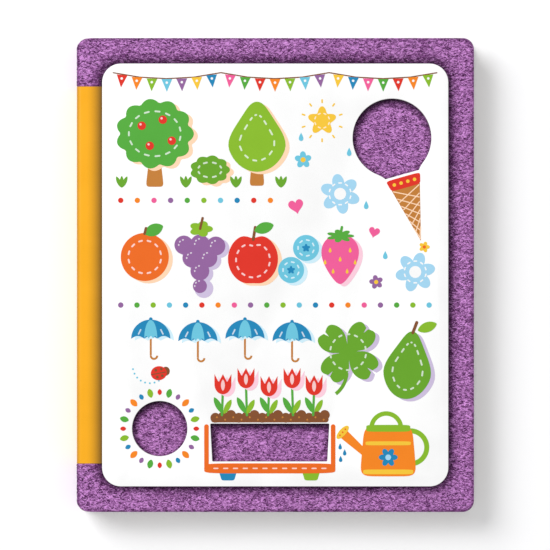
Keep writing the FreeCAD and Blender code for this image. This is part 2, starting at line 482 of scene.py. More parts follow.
def fold_nearness(tree, place, felt):
    """Mask of the painted shade at the spine's edge: how near a place on the flattened sheet is to the edge
    where it turns down the spine.
    """
    sides = add_node(tree, "ShaderNodeSeparateXYZ")
    feed(tree, place, sides.inputs[0])
    down = maths(tree, "SUBTRACT", flat_end(felt), sides.outputs["X"])
    start, full, end = FOLD_PLACES
    rising = between(tree, down, start, full)
    falling = between(tree, down, full, end, 1.0, 0.0)
    return maths(tree, "MINIMUM", rising, falling)


def make_paper_grain():
    """Fine tooth and slow unevenness of coated paper, as a colour, a roughness and a height."""
    group, start, end = new_group(
        "paper_grain",
        {"Color": "COLOR", "Gloss": "VALUE"},
        {"Color": "COLOR", "Roughness": "VALUE", "Height": "VALUE"},
    )
    place = object_place(group)
    slow = speckle(group, place, 60.0)
    tooth = speckle(group, place, 2600.0)
    tone = between(group, maths(group, "ADD", slow, tooth), 0.7, 1.3, 0.97, 1.03)
    light = add_node(group, "ShaderNodeHueSaturation")
    feed(group, start["Color"], light.inputs["Color"])
    feed(group, tone, light.inputs["Value"])
    feed(group, light.outputs[0], end["Color"])
    rough = maths(group, "ADD", start["Gloss"], between(group, slow, 0.3, 0.7, -0.05, 0.05))
    feed(group, rough, end["Roughness"])
    feed(group, tooth, end["Height"])


def make_board_layers():
    """Pressed layers in a cut board's edge, as a tone and a height."""
    group, start, end = new_group("board_layers", {}, {"Tone": "VALUE", "Height": "VALUE"})
    place = object_place(group)
    layers = speckle(group, turned(group, place, (0.012, 0.012, 0.00022)), 1.0, 3.0)
    fibres = speckle(group, place, 1500.0, 3.0)
    mixed = maths(group, "MULTIPLY_ADD", fibres, 0.5, layers)
    feed(group, between(group, mixed, 0.5, 1.0, 0.86, 1.05), end["Tone"])
    feed(group, mixed, end["Height"])


# Materials


def felt_material(felt, name, beside_panel):
    """The felt of one cover, with painted shade at its cut edge and at the spine's edge. Only the front one
    has painted shade beside the panel and in its windows.
    """
    material, tree, shader = new_material(name)
    place = sheet_map(tree)
    strands = use_group(tree, "felt_strands", Vector=place)
    base = blended_colour(tree, strands["Light"], felt.middle_colour, felt.light_colour)
    base = blended_colour(tree, strands["Dark"], base, felt.dark_colour)
    cloudy = between(tree, speckle(tree, place, 55.0, 3.0), 0.3, 0.7, 0.9, 1.1)
    tone = add_node(tree, "ShaderNodeHueSaturation")
    feed(tree, base, tone.inputs["Color"])
    feed(tree, cloudy, tone.inputs["Value"])
    # Painted shade at the cut edge and the spine's edge, and on the front beside the panel and in its
    # windows
    shade = maths(tree, "MULTIPLY", rim_nearness(tree, place, felt), RIM_SHADE)
    fold = maths(tree, "MULTIPLY", fold_nearness(tree, place, felt), FOLD_SHADE_ON_FELT)
    shade = maths(tree, "MAXIMUM", shade, fold)
    if beside_panel:
        near = maths(tree, "MULTIPLY", panel_nearness(tree, place, felt.panel_shade), PANEL_SHADE_ON_FELT)
        near = maths(tree, "MAXIMUM", near, window_nearness(tree, place, felt))
        shade = maths(tree, "MAXIMUM", near, shade)
    feed(tree, blended_colour(tree, shade, tone.outputs[0], felt.painted_shade_colour), shader["Base Color"])
    feed(tree, between(tree, strands["Height"], -1.0, 1.0, 1.0, 0.85), shader["Roughness"])
    feed(tree, bumped(tree, strands["Height"], 0.5, 0.0003), shader["Normal"])
    shader["Specular IOR Level"].default_value = 0.15
    shader["Sheen Weight"].default_value = 0.12
    shader["Sheen Roughness"].default_value = 0.6
    shader["Sheen Tint"].default_value = opaque(felt.light_colour)
    return material


def fibre_material(felt):
    """Loose fibres. The map's first number is each fibre's tone, with painted shade in it, and the second
    runs along it.
    """
    material, tree, shader = new_material("felt_fibre")
    tone = add_node(tree, "ShaderNodeSeparateXYZ")
    feed(tree, sheet_map(tree), tone.inputs[0])
    # The lowest tones, where painted shade dims a fibre, run into the painted shade colour
    base = blended_colour(
        tree, between(tree, tone.outputs["X"], 0.0, 0.2), felt.painted_shade_colour, felt.dark_colour
    )
    base = blended_colour(tree, between(tree, tone.outputs["X"], 0.2, 0.6), base, felt.middle_colour)
    base = blended_colour(tree, between(tree, tone.outputs["X"], 0.6, 1.0), base, felt.light_colour)
    ends = between(tree, maths(tree, "ABSOLUTE", tone.outputs["Y"]), 0.6, 1.0, 0.0, 0.35)
    feed(tree, blended_colour(tree, ends, base, felt.dark_colour), shader["Base Color"])
    feed(tree, between(tree, tone.outputs["X"], 0.0, 1.0, 0.95, 0.75), shader["Roughness"])
    shader["Specular IOR Level"].default_value = 0.2
    shader["Sheen Weight"].default_value = 0.1
    shader["Sheen Tint"].default_value = opaque(felt.light_colour)
    return material


def strip_material(felt, card, name, beside_panel):
    """The card strip on one cover, with painted shade at the spine's edge. Only the front one has painted
    shade beside the panel.
    """
    material, tree, shader = new_material(name)
    grain = use_group(tree, "paper_grain", Color=opaque(card.strip_colour), Gloss=0.38)
    place = sheet_map(tree)
    # Painted shade at the spine's edge, and on the front beside the panel
    fold = maths(tree, "MULTIPLY", fold_nearness(tree, place, felt), FOLD_SHADE_ON_STRIP)
    face = blended_colour(tree, fold, grain["Color"], card.painted_strip_shade)
    if beside_panel:
        near = maths(tree, "MULTIPLY", panel_nearness(tree, place, card.panel_shade), PANEL_SHADE_ON_STRIP)
        face = blended_colour(tree, near, face, card.painted_strip_shade)
    feed(tree, face, shader["Base Color"])
    feed(tree, grain["Roughness"], shader["Roughness"])
    feed(tree, bumped(tree, grain["Height"], 0.12, 0.00003), shader["Normal"])
    shader["Specular IOR Level"].default_value = 0.3
    return material


def coated_material(name, face_colour, gloss, coat=0.04):
    """Printed or plain coated paper."""
    material, tree, shader = new_material(name)
    grain = use_group(tree, "paper_grain", Color=opaque(face_colour), Gloss=gloss)
    feed(tree, grain["Color"], shader["Base Color"])
    feed(tree, grain["Roughness"], shader["Roughness"])
    feed(tree, bumped(tree, grain["Height"], 0.08, 0.00002), shader["Normal"])
    shader["Specular IOR Level"].default_value = 0.3
    shader["Coat Weight"].default_value = coat
    shader["Coat Roughness"].default_value = 0.4
    return material


def board_material(name, board_colour):
    """Board whose cut edges show its pressed layers and whose faces are lined with paper."""
    material, tree, shader = new_material(name)
    layers = use_group(tree, "board_layers")
    facing = add_node(tree, "ShaderNodeNewGeometry")
    upright = add_node(tree, "ShaderNodeSeparateXYZ")
    feed(tree, facing.outputs["True Normal"], upright.inputs[0])
    edge = between(tree, maths(tree, "ABSOLUTE", upright.outputs["Z"]), 0.6, 0.4)
    tone = add_node(tree, "ShaderNodeHueSaturation")
    feed(tree, opaque(board_colour), tone.inputs["Color"])
    feed(tree, layers["Tone"], tone.inputs["Value"])
    grain = use_group(tree, "paper_grain", Color=opaque(board_colour), Gloss=0.5)
    feed(tree, blended_colour(tree, edge, grain["Color"], tone.outputs[0]), shader["Base Color"])
    feed(tree, between(tree, edge, 0.0, 1.0, 0.5, 0.85), shader["Roughness"])
    feed(tree, bumped(tree, maths(tree, "MULTIPLY", layers["Height"], edge), 0.3, 0.00008), shader["Normal"])
    return material


def floor_material(stage):
    material, tree, shader = new_material("studio_floor")
    slow = speckle(tree, object_place(tree), 3.0)
    tone = add_node(tree, "ShaderNodeHueSaturation")
    feed(tree, opaque(stage.floor_colour), tone.inputs["Color"])
    feed(tree, between(tree, slow, 0.3, 0.7, 0.99, 1.01), tone.inputs["Value"])
    feed(tree, tone.outputs[0], shader["Base Color"])
    feed(tree, between(tree, slow, 0.3, 0.7, 0.85, 0.9), shader["Roughness"])
    return material


def ink_material(inks, name):
    """The material of an ink. A name that ends in _pale is that ink let down with white."""
    wanted = "ink_" + name
    if wanted in bpy.data.materials:
        return bpy.data.materials[wanted]
    base = getattr(inks, name.removesuffix("_pale"))
    if name.endswith("_pale"):
        base = [channel * 0.45 + 0.5 for channel in base]
    else:
        base = [max(0.002, (channel - INK_GLARE) / INK_LIFT) for channel in base]
    return coated_material(wanted, base, 0.45)


# Mesh helpers


def finished(name, mesh, materials, body=None):
    """Makes an object from a bmesh and, if a body is given, puts it on that body."""
    data = bpy.data.meshes.new(name)
    mesh.to_mesh(data)
    mesh.free()
    for material in materials:
        data.materials.append(material)
    piece = bpy.data.objects.new(name, data)
    bpy.context.scene.collection.objects.link(piece)
    if body:
        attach(piece, body)
    return piece


def smooth_but_sharp(piece, degrees):
    piece.data.shade_smooth()
    piece.data.set_sharp_from_angle(angle=math.radians(degrees))


def steps(start, end, size):
    """Even places from start up to end, which is left for the next run."""
    count = max(1, round(abs(end - start) / size))
    return [start + (end - start) * i / count for i in range(count)]


def gap_to_rounded(x, y, half_x, half_y, radius):
    """Distance outside a rounded rectangle about the middle, below zero inside it."""
    over_x = abs(x) - (half_x - radius)
    over_y = abs(y) - (half_y - radius)
    outside = math.hypot(max(over_x, 0.0), max(over_y, 0.0))
    return outside + min(max(over_x, over_y), 0.0) - radius


def gap_to_panel(x, y):
    """Distance outside the panel's outer edge, below zero under the panel."""
    return gap_to_rounded(x, y, PANEL_BOX[1].x, PANEL_BOX[1].y, PANEL_CORNER)


def eased(value, low, high):
    """0 below low, 1 above high, and smooth between them."""
    share = min(1.0, max(0.0, (value - low) / (high - low)))
    return share * share * (3.0 - 2.0 * share)


# The felt sheet. A place on it is its distance along the sheet, which equals X on the flat cover,
# and Y. Side is 1 for the front half and -1 for the back half.


def flat_end(felt):
    """Place along the sheet where the flat cover ends and the bend at the spine starts."""
    return felt.bend_radius - HALF_WIDTH


def wall_start(felt):
    """Place along the sheet where the bend ends and the upright wall of the spine starts."""
    return flat_end(felt) - felt.bend_radius * math.pi / 2


def corner_shift(felt, x, y):
    """How far the book's rounded corners move a place on the row at y towards the middle."""
    past = abs(y) - (HALF_HEIGHT - felt.corner_radius)
    if past <= 0.0:
        return 0.0
    radius = felt.corner_radius
    shift = radius - math.sqrt(max(0.0, radius * radius - past * past))
    ramp = eased(abs(x), HALF_WIDTH - 0.022, HALF_WIDTH - radius)
    return -shift * ramp if x > 0.0 else shift * ramp


def sheet_place(felt, along, y, side):
    """Point and outward direction of the even felt sheet."""
    edge = flat_end(felt)
    turn = (edge - along) / felt.bend_radius
    if turn <= 0.0:
        x, z, out_x, out_z = along, FELT_TOP, 0.0, 1.0
    elif turn <= math.pi / 2:
        out_x, out_z = -math.sin(turn), math.cos(turn)
        x = edge + felt.bend_radius * out_x
        z = FELT_TOP - felt.bend_radius * (1.0 - out_z)
    else:
        down = wall_start(felt) - along
        x, z, out_x, out_z = -HALF_WIDTH, FELT_TOP - felt.bend_radius - down, -1.0, 0.0
    x += corner_shift(felt, x, y)
    if side < 0:
        z, out_z = 2.0 * MIDDLE - z, -out_z
    return Vector((x, y, z)), Vector((out_x, 0.0, out_z))


def spine_start(felt):
    """Place along the sheet at the middle of the spine."""
    rise = FELT_TOP - felt.bend_radius - MIDDLE
    return wall_start(felt) - rise


def sheet_sink(felt, along, y, side):
    """How far the felt's face lies below the even sheet."""
    edge = HALF_HEIGHT - abs(y)
    if along > 0.0:
        x = along + corner_shift(felt, along, y)
        edge = -gap_to_rounded(x, y, HALF_WIDTH, HALF_HEIGHT, felt.corner_radius)
    sink = felt.soft_edge * max(0.0, 1.0 - edge / felt.soft_edge_width) ** 2
    wave = noise.noise(Vector((along * 70.0, y * 70.0, side * 3.0)))
    ripple = noise.noise(Vector((along * 260.0, y * 260.0, side * 5.0)))
    sink += felt.waviness * (0.75 + 0.5 * wave + 0.25 * ripple)
    bed = 1.0 - eased(abs(y), STRIP_BOX[1].y - 0.0001, STRIP_BOX[1].y + 0.0006)
    sink += felt.strip_bed * bed * (1.0 - eased(along, STRIP_BOX[1].x - 0.001, STRIP_BOX[1].x + 0.001))
    if side > 0:
        press = max(0.0, 1.0 - abs(gap_to_panel(along, y)) / felt.pressed_width)
        sink += felt.pressed_depth * press**1.5
    return sink


def spine_columns(felt, bend_step):
    """Places along the sheet from the middle of the spine to the flat cover."""
    crease = wall_start(felt) - CREASE_BAND
    return [
        *steps(spine_start(felt), crease, 0.0012),
        *steps(crease, wall_start(felt), 0.0004),
        *steps(wall_start(felt), flat_end(felt), bend_step),
    ]


def sheet_columns(felt):
    """Places along the sheet, close together where it bends or is pressed."""
    panel = PANEL_BOX[1].x
    return [
        *spine_columns(felt, 0.00045),
        *steps(flat_end(felt), -panel - 0.004, 0.0012),
        *steps(-panel - 0.004, -panel + 0.001, 0.0006),
        *steps(-panel + 0.001, STRIP_BOX[1].x + 0.002, 0.0008),
        *steps(STRIP_BOX[1].x + 0.002, panel - 0.001, 0.002),
        *steps(panel - 0.001, panel + 0.004, 0.0006),
        *steps(panel + 0.004, HALF_WIDTH - 0.0018, 0.0014),
        *steps(HALF_WIDTH - 0.0018, HALF_WIDTH, 0.00035),
        HALF_WIDTH,
    ]


def sheet_rows(felt):
    """Rows from tail to head, close together at the corners, the panel's edge and the strip's ends."""
    corner = HALF_HEIGHT - felt.corner_radius
    panel = PANEL_BOX[1].y
    strip = STRIP_BOX[1].y
    half = [
        *steps(0.0, strip - 0.001, 0.0022),
        *steps(strip - 0.001, strip + 0.001, 0.00035),
        *steps(strip + 0.001, panel - 0.001, 0.002),
        *steps(panel - 0.001, panel + 0.004, 0.0006),
        *steps(panel + 0.004, corner, 0.0014),
        *(corner + felt.corner_radius * math.sin(math.radians(turn)) for turn in CORNER_TURNS),
    ]
    return [-y for y in reversed(half[1:])] + half


def laid_grid(felt, columns, rows, side):
    """An even sheet over the places of columns and rows, with its flat map. Returns the bmesh and the
    place of each vertex."""
    mesh = bmesh.new()
    bmesh.ops.create_grid(mesh, x_segments=len(columns) - 1, y_segments=len(rows) - 1, size=0.5)
    places = {}
    for vert in mesh.verts:
        along = columns[round((vert.co.x + 0.5) * (len(columns) - 1))]
        y = rows[round((vert.co.y + 0.5) * (len(rows) - 1))]
        places[vert] = (along, y)
        vert.co = sheet_place(felt, along, y, side)[0]
    flat = mesh.loops.layers.uv.new("flat")
    for face in mesh.faces:
        for loop in face.loops:
            loop[flat].uv = places[loop.vert]
    return mesh, places, flat


def thicken(mesh, flat, thickness, side):
    """Gives the sheet its thickness on the inside, and its cut edges a map of their own."""
    if side < 0:
        bmesh.ops.reverse_faces(mesh, faces=mesh.faces[:])
    mesh.normal_update()
    outside = set(mesh.verts)
    bmesh.ops.solidify(mesh, geom=mesh.faces[:], thickness=thickness)
    for face in mesh.faces:
        for loop in face.loops:
            if loop.vert not in outside:
                loop[flat].uv += Vector((thickness, thickness))


def make_felt_half(felt, cover, side, nodes):
    """One half of the felt sheet, from the middle of the spine to its cut edges."""
    columns, rows = sheet_columns(felt), sheet_rows(felt)
    mesh, places, flat = laid_grid(felt, columns, rows, side)
    wall = wall_start(felt) - SAME_PLACE
    row_end = HALF_HEIGHT - felt.corner_radius * (1.0 - math.sin(math.radians(SPINE_CORNER)))
    row_end += SAME_PLACE
    past_corner = [
        face
        for face in mesh.faces
        if any(places[vert][0] < wall and abs(places[vert][1]) > row_end for vert in face.verts)
    ]
    bmesh.ops.delete(mesh, geom=past_corner, context="FACES")
    places = {vert: place for vert, place in places.items() if vert.is_valid}
    thicken(mesh, flat, felt.thickness - 0.00002, side)
    for vert, (along, y) in places.items():
        outward = sheet_place(felt, along, y, side)[1]
        vert.co -= outward * sheet_sink(felt, along, y, side)
    material = bpy.data.materials["felt_sheet_" + cover]
    piece = finished(f"felt_{cover}_half", mesh, [material])
    smooth_but_sharp(piece, 55.0)
    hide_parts(*nodes)
    bend_with(piece, side)
    return piece


def bend_with(piece, side):
    """Bakes the piece's place into its mesh. It works out where the crease in the spine starts and ends, but
    nothing uses them.
    """
    crease = BLOCK_BOX[1].z
    start = Vector((-HALF_WIDTH, 0.0, crease - 0.001))
    end = Vector((-HALF_WIDTH, 0.0, crease + 0.0013))
    if side < 0:
        start.z, end.z = 2.0 * MIDDLE - start.z, 2.0 * MIDDLE - end.z
    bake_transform(piece)


def make_fibres(felt, cover, side, hidden_by):
    """Curly loose fibres on one half of the felt: one grid cut into ribbons, each laid on its place."""
    count = felt.fibre_count
    links = 4
    mesh = bmesh.new()
    bmesh.ops.create_grid(mesh, x_segments=links, y_segments=2 * count - 1, size=0.5)
    row_of = {vert: round((vert.co.y + 0.5) * (2 * count - 1)) for vert in mesh.verts}
    between_ribbons = [face for face in mesh.faces if min(row_of[v] for v in face.verts) % 2]
    bmesh.ops.delete(mesh, geom=between_ribbons, context="FACES_ONLY")
    loose = [edge for edge in mesh.edges if not edge.link_faces]
    bmesh.ops.delete(mesh, geom=loose, context="EDGES")
    dice = random.Random(7 + side)
    ribbons = [lay_fibre(felt, side, links, dice, hidden_by) for _ in range(count)]
    flat = mesh.loops.layers.uv.new("flat")
    for vert in mesh.verts:
        link = round((vert.co.x + 0.5) * links)
        row = row_of[vert]
        edges, tone = ribbons[row // 2]
        vert.co = edges[link][row % 2]
        for loop in vert.link_loops:
            loop[flat].uv = (tone, 2.0 * link / links - 1.0)
    piece = finished("fibres_" + cover, mesh, [bpy.data.materials["felt_fibre"]])
    bend_with(piece, side)
    return piece


def lay_fibre(felt, side, links, dice, hidden_by):
    """Both edges of a fibre at each link, and its tone."""
    while True:
        along = dice.uniform(spine_start(felt) + 0.001, HALF_WIDTH - 0.0002)
        y = dice.uniform(-HALF_HEIGHT, HALF_HEIGHT)
        if fibre_shows(felt, along, y, side, hidden_by):
            break
    heading = dice.gauss(0.0, FIBRE_HEADING)
    curl = dice.gauss(0.0, FIBRE_CURL)
    size = felt.fibre_length * dice.uniform(0.6, 1.4)
    lift = felt.fibre_lift * dice.uniform(0.4, 1.0)
    half = felt.fibre_width * dice.uniform(0.35, 0.6)
    # A random tone, dimmed by the painted shade
    tone = dice.uniform(0.05, 1.0) * painted_fibre_light(felt, along, y, side)
    edges = []
    for link in range(links + 1):
        share = link / links - 0.5
        direction = heading + curl * share
        across = Vector((-math.sin(direction), math.cos(direction))) * half
        spot = Vector((along, y)) + Vector((math.cos(direction), math.sin(direction))) * size * share
        rise = lift * (1.0 - 4.0 * share * share) - FIBRE_SINK
        edges.append([on_sheet(felt, spot + across * way, side, rise) for way in (-1.0, 1.0)])
    return edges, tone


def painted_fibre_light(felt, along, y, side):
    """Painted light of a fibre: 1 on the open felt, and less where shade is painted beside the panel, in its
    windows, at the cut edge and at the spine's edge.
    """
    rim = max(abs(y) - HALF_HEIGHT, along - HALF_WIDTH)
    light = 1.0 - RIM_SHADE + RIM_SHADE * eased(-rim, 0.0, felt.rim_shade)
    down = flat_end(felt) - along
    start, full, end = FOLD_PLACES
    light *= 1.0 - FOLD_SHADE_ON_FELT * min(eased(down, start, full), 1.0 - eased(down, full, end))
    if side < 0:
        return light
    if gap_to_panel(along, y) < 0.0:
        return light * painted_window_light(felt, along, y)
    gap = gap_to_panel(along - LIT_SHIFT[0], y - LIT_SHIFT[1])
    return light * eased(gap, FIBRE_DARKEST, felt.panel_shade)


def painted_window_light(felt, x, y):
    """1 in the open middle of a window, and less in the painted shadow that the panel drops into it."""
    light = 0.0
    for middle, half, radius, lean in WINDOWS:
        spot = on_cover(*middle) + Vector(WINDOW_SHADE_SHIFT)
        local = Matrix.Rotation(math.radians(-lean), 3, "Z") @ (Vector((x, y, 0.0)) - spot)
        gap = gap_to_rounded(local.x, local.y, half[0] * PIXEL, half[1] * PIXEL, radius * PIXEL)
        depth = (felt.window_shade_start - gap) / (felt.window_shade_start + felt.window_shade)
        light = max(light, min(1.0, depth))
    return light


def on_sheet(felt, spot, side, rise):
    """A point over the felt's face, kept on the book and above the table."""
    y = max(-HALF_HEIGHT, min(HALF_HEIGHT, spot.y))
    along = max(spine_start(felt), min(HALF_WIDTH, spot.x))
    point, outward = sheet_place(felt, along, y, side)
    point += outward * (rise - sheet_sink(felt, along, y, side))
    point.z = max(0.0, point.z)
    return point


def fibre_shows(felt, along, y, side, hidden_by):
    """Whether a fibre at this place can be seen: not under the strip, nor under the panel."""
    if abs(y) < STRIP_BOX[1].y + BARE_BESIDE_STRIP and along < STRIP_BOX[1].x:
        return False
    if along < flat_end(felt) and abs(y) > HALF_HEIGHT - BARE_AT_SPINE_END:
        return False
    if side < 0 or along < -PANEL_BOX[1].x - 0.001:
        return True
    above = Vector((along, y, PANEL_TOP + 0.01))
    return hidden_by.ray_cast(above, Vector((0.0, 0.0, -1.0)), 0.02)[0] is None


def make_strip_half(felt, card, cover, side, nodes):
    """One half of the card strip, from the middle of the spine to its end under the panel."""
    columns = [
        *spine_columns(felt, 0.0003),
        *steps(flat_end(felt), STRIP_BOX[1].x, 0.0012),
        STRIP_BOX[1].x,
    ]
    end = STRIP_BOX[1].y
    rows = [*steps(-end, end, 0.004), end]
    mesh, _, flat = laid_grid(felt, columns, rows, side)
    thicken(mesh, flat, card.strip_thickness, side)
    material = bpy.data.materials["card_strip_" + cover]
    piece = finished(f"strip_{cover}_half", mesh, [material])
    smooth_but_sharp(piece, 40.0)
    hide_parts(*nodes)
    bend_with(piece, side)
    return piece


# Printed art. Places are pixels of the photograph, with Y down, and turns are in degrees,
# counter-clockwise.


def on_cover(px, py):
    return Vector(((px - COVER_MIDDLE[0]) * PIXEL, (COVER_MIDDLE[1] - py) * PIXEL, 0.0))


class Print:
    """Thin plates of ink on the window panel, gathered into one piece."""

    def __init__(self, inks, name):
        self.inks = inks
        self.name = name
        self.mesh = bmesh.new()
        self.used = []
        self.laid = 0

    def lay(self, verts, ink, layer, at, turn=0.0):
        """Turns a flat shape, puts it in its place and raises it to its layer, a hair off its neighbours."""
        if ink not in self.used:
            self.used.append(ink)
        self.laid += 1
        height = self.inks.ink_height * (layer + (self.laid % 37) / 40)
        spot = Matrix.Translation(on_cover(*at)) @ Matrix.Rotation(math.radians(turn), 4, "Z")
        bmesh.ops.transform(self.mesh, matrix=spot @ Matrix.Scale(PIXEL, 4), verts=verts)
        for vert in verts:
            vert.co.z = PANEL_TOP - INK_ROOT
        faces = list({face for vert in verts for face in vert.link_faces})
        raised = bmesh.ops.extrude_face_region(self.mesh, geom=faces)["geom"]
        for item in raised:
            if isinstance(item, bmesh.types.BMVert):
                item.co.z = PANEL_TOP + height
                for face in item.link_faces:
                    face.material_index = self.used.index(ink)

    def shape(self, form, ink, layer, at, size, turn=0.0, corners=40):
        """A closed shape. The form gives its outline for each angle, in a box from -1 to 1."""
        ring = bmesh.ops.create_circle(self.mesh, cap_ends=True, segments=corners, radius=1.0)["verts"]
        for vert in ring:
            across, up = form(math.atan2(vert.co.y, vert.co.x))
            vert.co = (across * size[0], up * size[1], 0.0)
        self.lay(ring, ink, layer, at, turn)

    def dot(self, ink, layer, at, radius, corners=20):
        self.shape(disc, ink, layer, at, (radius, radius), corners=corners)

    def bar(self, ink, layer, start, end, width):
        """A bar with rounded ends from one place to another."""
        along = Vector(end) - Vector(start)
        turn = math.degrees(math.atan2(-along.y, along.x))
        middle = (Vector(start) + Vector(end)) / 2
        rounding = width / 2
        straight = max(0.0, along.length / 2 - rounding)
        corners = 16

        def form(angle):
            across, up = disc(angle + math.pi / corners)
            return across * rounding + math.copysign(straight, across), up * rounding

        self.shape(form, ink, layer, middle, (1.0, 1.0), turn, corners)

    def arc(self, ink, layer, at, inner, outer, start, end):
        """A curved band between two radii and two angles."""
        turns = max(4, round(abs(end - start) / 6))
        first, last = math.radians(start), math.radians(end)
        tips = [self.mesh.verts.new((r * math.cos(first), r * math.sin(first), 0.0)) for r in (inner, outer)]
        edge = self.mesh.edges.new(tips)
        before = set(self.mesh.verts) - set(tips)
        bmesh.ops.spin(
            self.mesh, geom=[*tips, edge], cent=(0, 0, 0), axis=(0, 0, 1), angle=last - first, steps=turns
        )
        self.lay([vert for vert in self.mesh.verts if vert not in before], ink, layer, at)

    def stitches(
        self, form, ink, layer, at, size, count, turn=0.0, start=0.0, end=360.0, dash=0.55, width=1.8
    ):
        """Dashes along the outline of a form, as if it were sewn on."""
        spin = Matrix.Rotation(math.radians(turn), 2)

        def spot(share):
            across, up = form(math.radians(start + (end - start) * share))
            place = spin @ Vector((across * size[0], up * size[1]))
            return Vector((at[0] + place.x, at[1] - place.y))

        for index in range(count):
            first = spot((index + 0.5 - dash / 2) / count)
            last = spot((index + 0.5 + dash / 2) / count)
            self.bar(ink, layer, first, last, width)

    def shadowed(self, form, ink, shadow, at, size, turn=0.0, corners=48):
        """A shape on a pastel copy of itself that lies a little down and to the right."""
        shift = self.inks.shadow_shift
        self.shape(form, shadow, 1, (at[0] + shift, at[1] + shift * 0.6), size, turn, corners)
        self.shape(form, ink, 2, at, size, turn, corners)

    def finish(self):
        bmesh.ops.recalc_face_normals(self.mesh, faces=self.mesh.faces[:])
        materials = [ink_material(self.inks, ink) for ink in self.used]
        return finished(self.name, self.mesh, materials, "front_cover")


def disc(angle):
    return math.cos(angle), math.sin(angle)


def plank(angle):
    """A box with rounded corners."""
    across, up = math.cos(angle), math.sin(angle)
    return math.copysign(abs(across) ** 0.3, across), math.copysign(abs(up) ** 0.3, up)


def tapered(shrink):
    """A rounded box that narrows downwards by a share of its width."""

    def form(angle):
        across, up = plank(angle)
        return across * (1.0 - shrink * (1.0 - up) / 2), up

    return form


def leaf_form(angle):
    return math.cos(angle), math.sin(angle) * abs(math.sin(angle)) ** 0.5


def drop_form(angle):
    """A drop with its tip up."""
    turn = angle - math.pi / 2
    return -math.sin(turn) * abs(math.sin(turn / 2)) ** 1.5 * 1.25, math.cos(turn)


def heart_form(angle):
    turn = math.pi / 2 - angle
    up = 13 * math.cos(turn) - 5 * math.cos(2 * turn) - 2 * math.cos(3 * turn) - math.cos(4 * turn)
    return math.sin(turn) ** 3, up / 15


def lobed(count, depth):
    """A round shape with that many rounded lobes."""

    def form(angle):
        reach = 1.0 - depth * (1.0 - abs(math.cos(count * angle / 2)))
        return reach * math.cos(angle), reach * math.sin(angle)

    return form


def apple_form(angle):
    top = math.exp(-(((angle - math.pi / 2) / 0.34) ** 2))
    base = math.exp(-(((angle + math.pi / 2) / 0.3) ** 2))
    reach = 1.0 - 0.2 * top - 0.07 * base
    return reach * math.cos(angle), reach * math.sin(angle)


def pear_form(angle):
    up = math.sin(angle)
    return math.cos(angle) * (1.0 - 0.45 * eased(up, -0.4, 0.9)), up


def strawberry_form(angle):
    up = math.sin(angle)
    return math.cos(angle) * (0.72 + 0.28 * up) * (1.0 + 0.12 * math.cos(angle) ** 2), up


def tulip_form(angle):
    across = math.cos(angle)
    if math.sin(angle) < 0.0:
        return across * 0.98, math.sin(angle)
    return across * 0.98, 0.2 + 0.8 * abs((across + 1.0) % 1.0 - 0.5) * 2


def parasol_form(angle):
    across, up = math.cos(angle), math.sin(angle)
    return across, up if up > 0.0 else 0.14 * abs(math.sin(1.5 * math.pi * (across + 1.0)))


def clover_form(angle):
    reach = 0.22 + 0.78 * abs(math.sin(2 * angle)) ** 0.55
    notch = 0.16 * math.exp(-((((angle - math.pi / 4) % (math.pi / 2)) / 0.2) ** 2))
    notch += 0.16 * math.exp(-((((math.pi / 4 - angle) % (math.pi / 2)) / 0.2) ** 2))
    return (reach - notch) * math.cos(angle), (reach - notch) * math.sin(angle)


def star_form(angle):
    """A plump star with five rounded tips, one of them up."""
    reach = 0.8 + 0.2 * math.cos(5 * (angle - math.pi / 2))
    return reach * math.cos(angle), reach * math.sin(angle)


def print_bunting(inks):
    """Three swags of small flags along the head of the panel."""
    art = Print(inks, "print_bunting")
    cycle = ("red", "tangerine", "lime", "sky", "purple", "yellow", "blue", "pink", "leaf")
    half, sag, flags = 54.0, 6.0, 7
    radius = (half * half + sag * sag) / (2 * sag)
    opening = math.degrees(math.asin(half / radius))
    for swag in range(3):
        middle, top = 167.0 + 108.0 * swag, 73.0
        centre = (middle, top + sag - radius)
        art.arc("soil", 1, centre, radius - 0.6, radius + 0.6, -90 - opening, -90 + opening)
        for flag in range(flags):
            off = (flag - (flags - 1) / 2) * 15.0
            hang = top + sag * (1.0 - (off / half) ** 2)
            ink = cycle[(swag * flags + flag) % len(cycle)]
            art.shape(disc, ink, 2, (middle + off, hang + 4.6), (6.2, 8.4), 180.0 + off * 0.12, 3)
            art.dot("white", 3, (middle + off, hang + 4.0), 1.3, 10)
    return art.finish()


def print_trees(inks):
    """Two sewn-on trees with a bush between them."""
    art = Print(inks, "print_trees")
    crown, bush = lobed(11, 0.13), lobed(9, 0.14)
    art.shape(tapered(-0.5), "tan", 1, (155.0, 174.0), (6.0, 13.0))
    art.shape(tapered(-0.5), "tan", 1, (257.0, 172.0), (5.0, 14.0))
    art.shadowed(crown, "leaf", "peach", (155.0, 134.0), (39.0, 35.0), corners=110)
    art.stitches(disc, "leaf_pale", 3, (155.0, 134.0), (26.0, 22.5), 15)
    for px, py in ((142.0, 126.0), (163.0, 120.0), (172.0, 141.0), (150.0, 146.0)):
        art.dot("red", 3, (px, py), 4.2)
        art.dot("red_pale", 4, (px - 1.2, py - 1.4), 1.2, 10)
    art.shadowed(pear_form, "lime", "peach", (257.0, 137.0), (30.0, 35.0))
    art.stitches(pear_form, "lime_pale", 3, (257.0, 138.0), (18.5, 23.0), 13)
    art.shadowed(bush, "moss", "peach", (210.0, 170.0), (20.0, 14.5), corners=90)
    art.stitches(disc, "moss_pale", 3, (210.0, 170.0), (12.0, 7.6), 8)
    for px in (122.0, 186.0, 236.0, 281.0):
        for lean in (-24.0, 0.0, 24.0):
            art.shape(leaf_form, "moss", 1, (px + lean / 8, 182.0), (6.0, 2.0), 90.0 - lean, 16)
    return art.finish()


